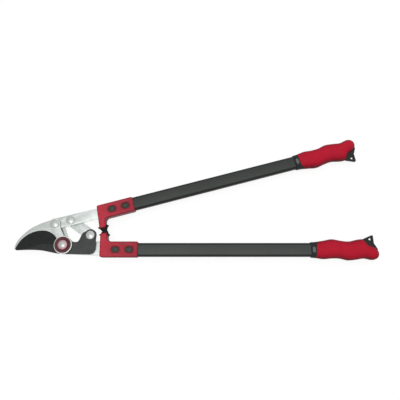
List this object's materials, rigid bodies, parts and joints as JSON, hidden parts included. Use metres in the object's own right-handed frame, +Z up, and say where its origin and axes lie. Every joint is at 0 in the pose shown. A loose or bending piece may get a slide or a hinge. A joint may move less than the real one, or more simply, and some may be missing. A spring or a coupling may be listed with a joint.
{
  "type": "lopper",
  "caption": "Compound bypass lopper with a dark curved blade, a bright hooked counter blade, long black tube handles, rubber bumpers and red grips",
  "frame": {"origin": "The middle of the tool's footprint, on the surface that it lies on.", "axes": "+X from the jaws to the grips, +Y from the lower handle to the upper handle, +Z up, out of the side with the bolt's head."},
  "size_m": [0.7144, 0.2482, 0.027],
  "materials": {
    "bright_steel": "satin, fine grain along the plate",
    "polished_steel": "smooth, bright",
    "dark_blade": "dark low-friction coating with a ground edge",
    "dark_red_ring": "semi-gloss paint",
    "red_socket": "fine moulded grain",
    "black_rivet": "black oxide",
    "black_rubber": "matt",
    "black_tube": "satin powder coat",
    "inner_plastic": "plain moulded",
    "black_plastic": "fine moulded grain",
    "grey_plastic": "plain moulded",
    "red_grip": "soft matt, fine grain"
  },
  "bodies": {
    "lower_handle": {"hook_blade": "bright_steel", "hook_strap": "bright_steel", "main_bolt": "polished_steel", "pivot_ring": "dark_red_ring", "nut_washer": "polished_steel", "main_nut": "polished_steel", "hook_rivet": "polished_steel", "lower_socket": "red_socket", "lower_socket_rivet_front": "black_rivet", "lower_socket_rivet_rear": "black_rivet", "lower_bumper": "black_rubber", "lower_tube": "black_tube", "lower_insert": "inner_plastic", "lower_grip_core": "black_plastic", "lower_grip_plug": "grey_plastic", "lower_grip_sleeve": "red_grip"},
    "upper_handle": {"upper_lever": "bright_steel", "lever_link_rivet": "polished_steel", "upper_socket": "red_socket", "upper_socket_rivet_front": "black_rivet", "upper_socket_rivet_rear": "black_rivet", "upper_bumper": "black_rubber", "upper_tube": "black_tube", "upper_insert": "inner_plastic", "upper_grip_core": "black_plastic", "upper_grip_plug": "grey_plastic", "upper_grip_sleeve": "red_grip"},
    "blade": {"cutting_blade": "dark_blade", "blade_link_rivet": "polished_steel"},
    "link": {"compound_link": "bright_steel"}
  },
  "joints": [
    {"name": "handle_pivot", "type": "hinge", "parent": "lower_handle", "child": "upper_handle", "pos_m": [-0.27907, -0.05287, 0.0135], "axis": [0, 0, 1], "range_deg": [0, 64]},
    {"name": "blade_pivot", "type": "hinge", "parent": "lower_handle", "child": "blade", "pos_m": [-0.25997, -0.09438, 0.0135], "axis": [0, 0, 1], "range_deg": [0, 35.5]},
    {"name": "link_pivot", "type": "hinge", "parent": "blade", "child": "link", "pos_m": [-0.20827, -0.07477, 0.0135], "axis": [0, 0, 1], "range_deg": [-31.5, 0]}
  ],
  "couplings": [
    {"joint": "blade_pivot", "follows": "handle_pivot", "ratio": 0.552},
    {"joint": "link_pivot", "follows": "handle_pivot", "ratio": -0.488}
  ]
}
